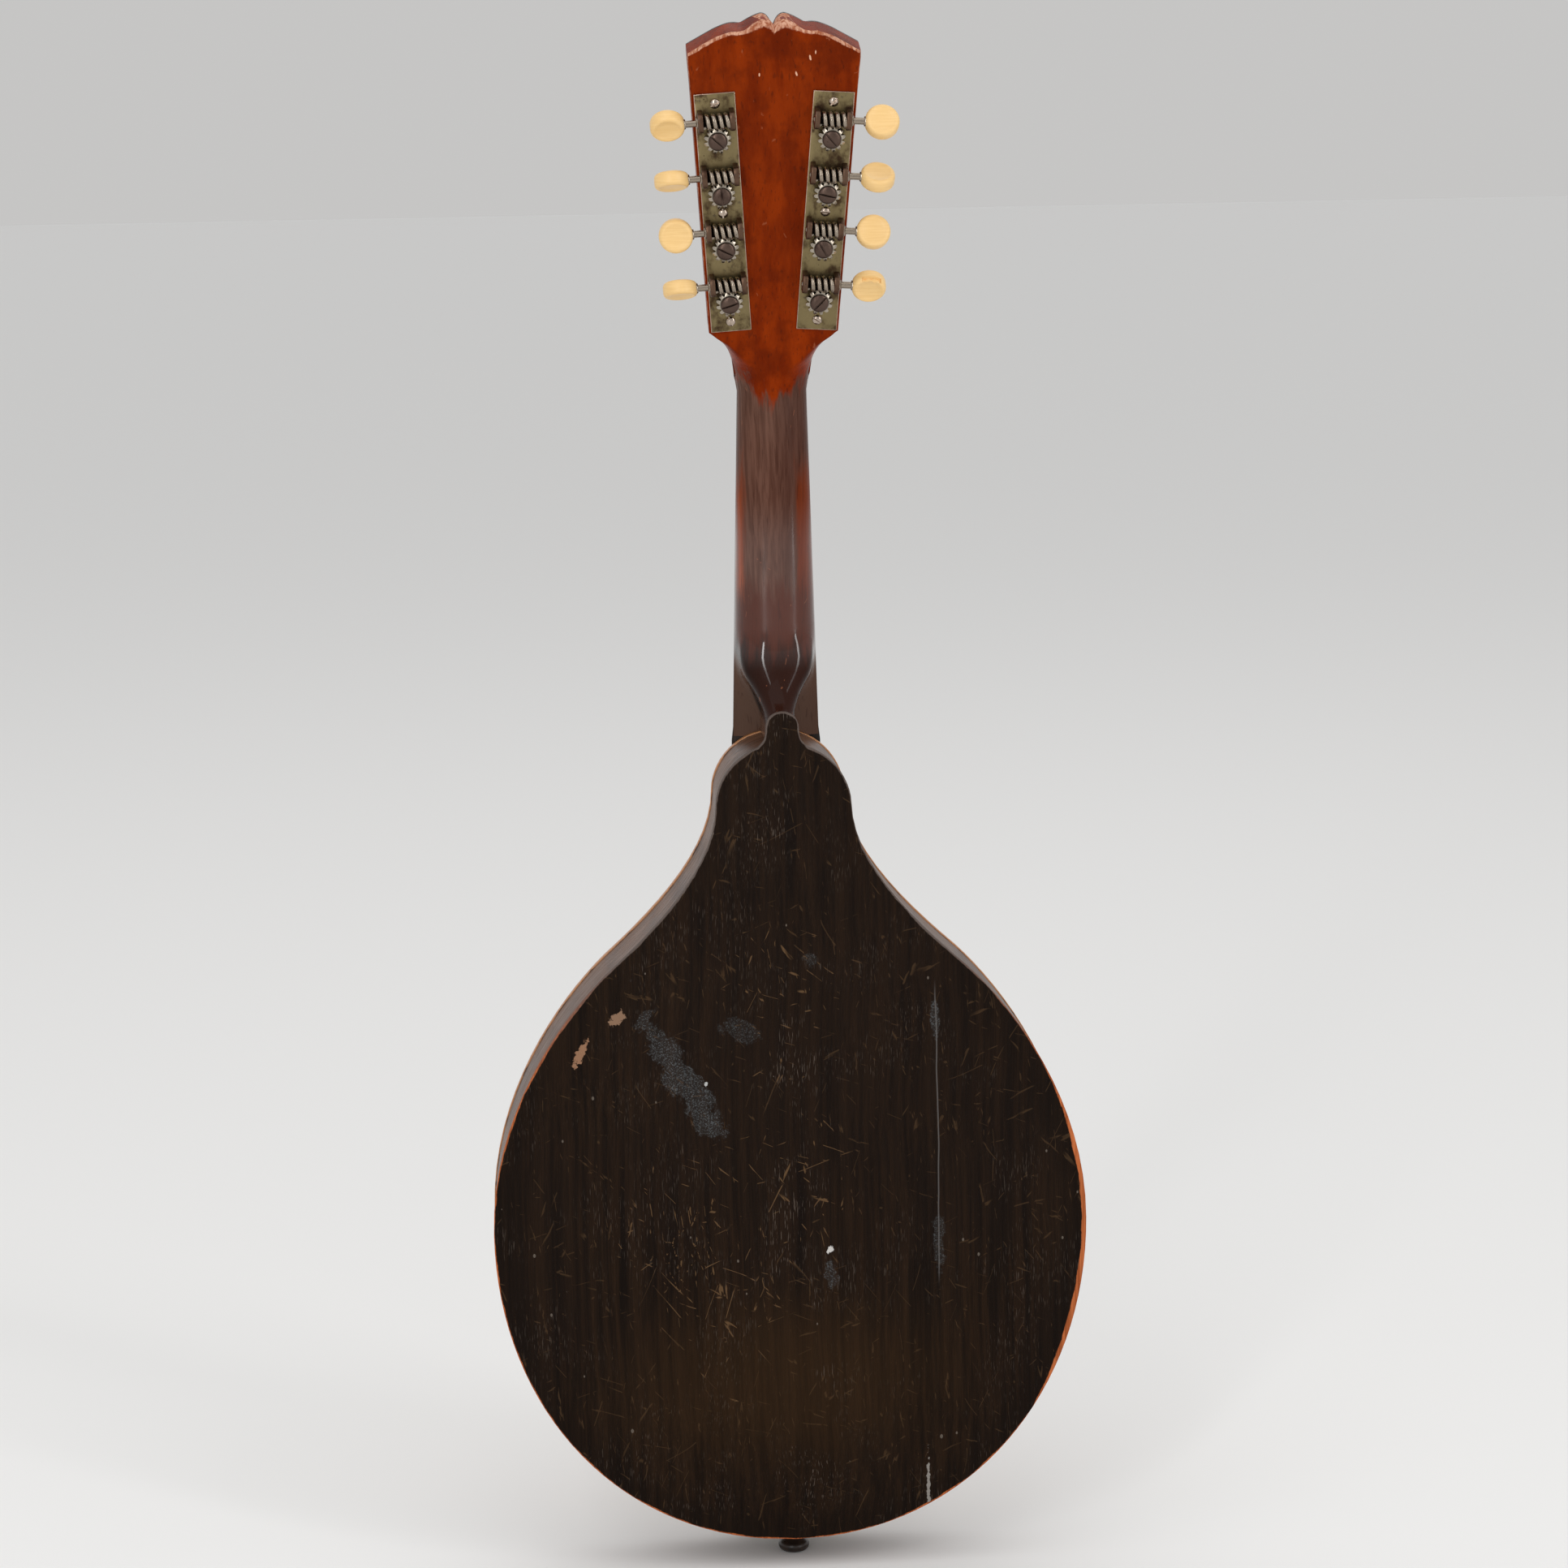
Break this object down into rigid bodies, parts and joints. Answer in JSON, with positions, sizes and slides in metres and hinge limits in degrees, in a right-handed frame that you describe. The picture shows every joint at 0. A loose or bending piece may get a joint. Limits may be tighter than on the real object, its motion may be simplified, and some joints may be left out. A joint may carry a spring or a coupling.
{
  "type": "mandolin",
  "caption": "Teardrop-bodied mandolin with arched plates, an oval sound hole and geared tuners whose buttons turn the string posts; paired strings run to a covered tailpiece.",
  "frame": {"origin": "Middle of the neck at the nut, on the plane where the fingerboard is glued down. A wall hanger's yoke holds the instrument round the neck there.", "axes": "+Z from the tail to the headstock along the body, -Y out of the string side, +Y out of the back, +X to the treble side."},
  "size_m": [0.254, 0.1043, 0.6629],
  "materials": {
    "back_wood": "near-black stained varnish, scratched and worn at the edges",
    "rim_wood": "warm brown varnish, satin",
    "top_wood": "amber varnish over spruce, satin",
    "neck_wood": "red-brown varnish over mahogany, worn",
    "inner_wood": "bare wood",
    "ebony": "black, satin",
    "bone": "aged bone, satin",
    "horn": "polished black",
    "tuner_plate": "tarnished plated brass, dull with bright edges",
    "tuner_steel": "aged nickel plate",
    "ivoroid": "aged cream celluloid with darker grain",
    "string_wire": "drawn steel and wound wire",
    "tail_metal": "aged nickel plate"
  },
  "bodies": {
    "instrument": {"back_plate": "back_wood", "top_plate": "top_wood", "rim": "rim_wood", "neck_block": "inner_wood", "tail_block": "inner_wood", "back_lining_treble": "inner_wood", "top_lining_treble": "inner_wood", "back_lining_bass": "inner_wood", "top_lining_bass": "inner_wood", "top_brace": "inner_wood", "end_pin": "horn", "neck": "neck_wood", "headstock_veneer": "ebony", "fingerboard": "ebony", "nut": "bone", "bridge_base": "ebony", "bridge_saddle": "ebony", "tailpiece_base": "tail_metal", "tuner_plate_treble": "tuner_plate", "plate_screw_treble_1": "tuner_plate", "plate_screw_treble_2": "tuner_plate", "plate_screw_treble_3": "tuner_plate", "tuner_plate_bass": "tuner_plate", "plate_screw_bass_1": "tuner_plate", "plate_screw_bass_2": "tuner_plate", "plate_screw_bass_3": "tuner_plate", "string_e_1": "string_wire", "string_e_2": "string_wire", "string_a_1": "string_wire", "string_a_2": "string_wire", "string_g_1": "string_wire", "string_g_2": "string_wire", "string_d_1": "string_wire", "string_d_2": "string_wire"},
    "tail_cover": {"tailpiece_cover": "tail_metal"},
    "tuner_treble_1": {"worm_shaft_treble_1": "tuner_steel", "tuner_button_treble_1": "ivoroid"},
    "post_treble_1": {"gear_post_treble_1": "tuner_steel"},
    "tuner_treble_2": {"worm_shaft_treble_2": "tuner_steel", "tuner_button_treble_2": "ivoroid"},
    "post_treble_2": {"gear_post_treble_2": "tuner_steel"},
    "tuner_treble_3": {"worm_shaft_treble_3": "tuner_steel", "tuner_button_treble_3": "ivoroid"},
    "post_treble_3": {"gear_post_treble_3": "tuner_steel"},
    "tuner_treble_4": {"worm_shaft_treble_4": "tuner_steel", "tuner_button_treble_4": "ivoroid"},
    "post_treble_4": {"gear_post_treble_4": "tuner_steel"},
    "tuner_bass_1": {"worm_shaft_bass_1": "tuner_steel", "tuner_button_bass_1": "ivoroid"},
    "post_bass_1": {"gear_post_bass_1": "tuner_steel"},
    "tuner_bass_2": {"worm_shaft_bass_2": "tuner_steel", "tuner_button_bass_2": "ivoroid"},
    "post_bass_2": {"gear_post_bass_2": "tuner_steel"},
    "tuner_bass_3": {"worm_shaft_bass_3": "tuner_steel", "tuner_button_bass_3": "ivoroid"},
    "post_bass_3": {"gear_post_bass_3": "tuner_steel"},
    "tuner_bass_4": {"worm_shaft_bass_4": "tuner_steel", "tuner_button_bass_4": "ivoroid"},
    "post_bass_4": {"gear_post_bass_4": "tuner_steel"}
  },
  "joints": [
    {"name": "tail_cover_slide", "type": "slide", "parent": "instrument", "child": "tail_cover", "axis": [0, 0.1149, -0.9934], "range_m": [0, 0.012]},
    {"name": "tuner_turn_treble_1", "type": "hinge", "parent": "instrument", "child": "tuner_treble_1", "pos_m": [0.01911, 0.03514, 0.04336], "axis": [0.9979, -0.0202, -0.0622], "continuous": true},
    {"name": "post_turn_treble_1", "type": "hinge", "parent": "instrument", "child": "post_treble_1", "pos_m": [0.01858, 0.03267, 0.03577], "axis": [0, 0.9511, -0.309], "continuous": true},
    {"name": "tuner_turn_treble_2", "type": "hinge", "parent": "instrument", "child": "tuner_treble_2", "pos_m": [0.02064, 0.04238, 0.06567], "axis": [0.9979, -0.0202, -0.0622], "continuous": true},
    {"name": "post_turn_treble_2", "type": "hinge", "parent": "instrument", "child": "post_treble_2", "pos_m": [0.02012, 0.03992, 0.05807], "axis": [0, 0.9511, -0.309], "continuous": true},
    {"name": "tuner_turn_treble_3", "type": "hinge", "parent": "instrument", "child": "tuner_treble_3", "pos_m": [0.02218, 0.04963, 0.08797], "axis": [0.9979, -0.0202, -0.0622], "continuous": true},
    {"name": "post_turn_treble_3", "type": "hinge", "parent": "instrument", "child": "post_treble_3", "pos_m": [0.02166, 0.04716, 0.08038], "axis": [0, 0.9511, -0.309], "continuous": true},
    {"name": "tuner_turn_treble_4", "type": "hinge", "parent": "instrument", "child": "tuner_treble_4", "pos_m": [0.02372, 0.05688, 0.11027], "axis": [0.9979, -0.0202, -0.0622], "continuous": true},
    {"name": "post_turn_treble_4", "type": "hinge", "parent": "instrument", "child": "post_treble_4", "pos_m": [0.02319, 0.05441, 0.10268], "axis": [0, 0.9511, -0.309], "continuous": true},
    {"name": "tuner_turn_bass_1", "type": "hinge", "parent": "instrument", "child": "tuner_bass_1", "pos_m": [-0.01911, 0.03514, 0.04336], "axis": [0.9979, 0.0202, 0.0622], "continuous": true},
    {"name": "post_turn_bass_1", "type": "hinge", "parent": "instrument", "child": "post_bass_1", "pos_m": [-0.01858, 0.03267, 0.03577], "axis": [0, 0.9511, -0.309], "continuous": true},
    {"name": "tuner_turn_bass_2", "type": "hinge", "parent": "instrument", "child": "tuner_bass_2", "pos_m": [-0.02064, 0.04238, 0.06567], "axis": [0.9979, 0.0202, 0.0622], "continuous": true},
    {"name": "post_turn_bass_2", "type": "hinge", "parent": "instrument", "child": "post_bass_2", "pos_m": [-0.02012, 0.03992, 0.05807], "axis": [0, 0.9511, -0.309], "continuous": true},
    {"name": "tuner_turn_bass_3", "type": "hinge", "parent": "instrument", "child": "tuner_bass_3", "pos_m": [-0.02218, 0.04963, 0.08797], "axis": [0.9979, 0.0202, 0.0622], "continuous": true},
    {"name": "post_turn_bass_3", "type": "hinge", "parent": "instrument", "child": "post_bass_3", "pos_m": [-0.02166, 0.04716, 0.08038], "axis": [0, 0.9511, -0.309], "continuous": true},
    {"name": "tuner_turn_bass_4", "type": "hinge", "parent": "instrument", "child": "tuner_bass_4", "pos_m": [-0.02372, 0.05688, 0.11027], "axis": [0.9979, 0.0202, 0.0622], "continuous": true},
    {"name": "post_turn_bass_4", "type": "hinge", "parent": "instrument", "child": "post_bass_4", "pos_m": [-0.02319, 0.05441, 0.10268], "axis": [0, 0.9511, -0.309], "continuous": true}
  ],
  "couplings": [
    {"joint": "post_turn_treble_1", "follows": "tuner_turn_treble_1", "ratio": -0.083333},
    {"joint": "post_turn_treble_2", "follows": "tuner_turn_treble_2", "ratio": -0.083333},
    {"joint": "post_turn_treble_3", "follows": "tuner_turn_treble_3", "ratio": -0.083333},
    {"joint": "post_turn_treble_4", "follows": "tuner_turn_treble_4", "ratio": -0.083333},
    {"joint": "post_turn_bass_1", "follows": "tuner_turn_bass_1", "ratio": -0.083333},
    {"joint": "post_turn_bass_2", "follows": "tuner_turn_bass_2", "ratio": -0.083333},
    {"joint": "post_turn_bass_3", "follows": "tuner_turn_bass_3", "ratio": -0.083333},
    {"joint": "post_turn_bass_4", "follows": "tuner_turn_bass_4", "ratio": -0.083333}
  ]
}
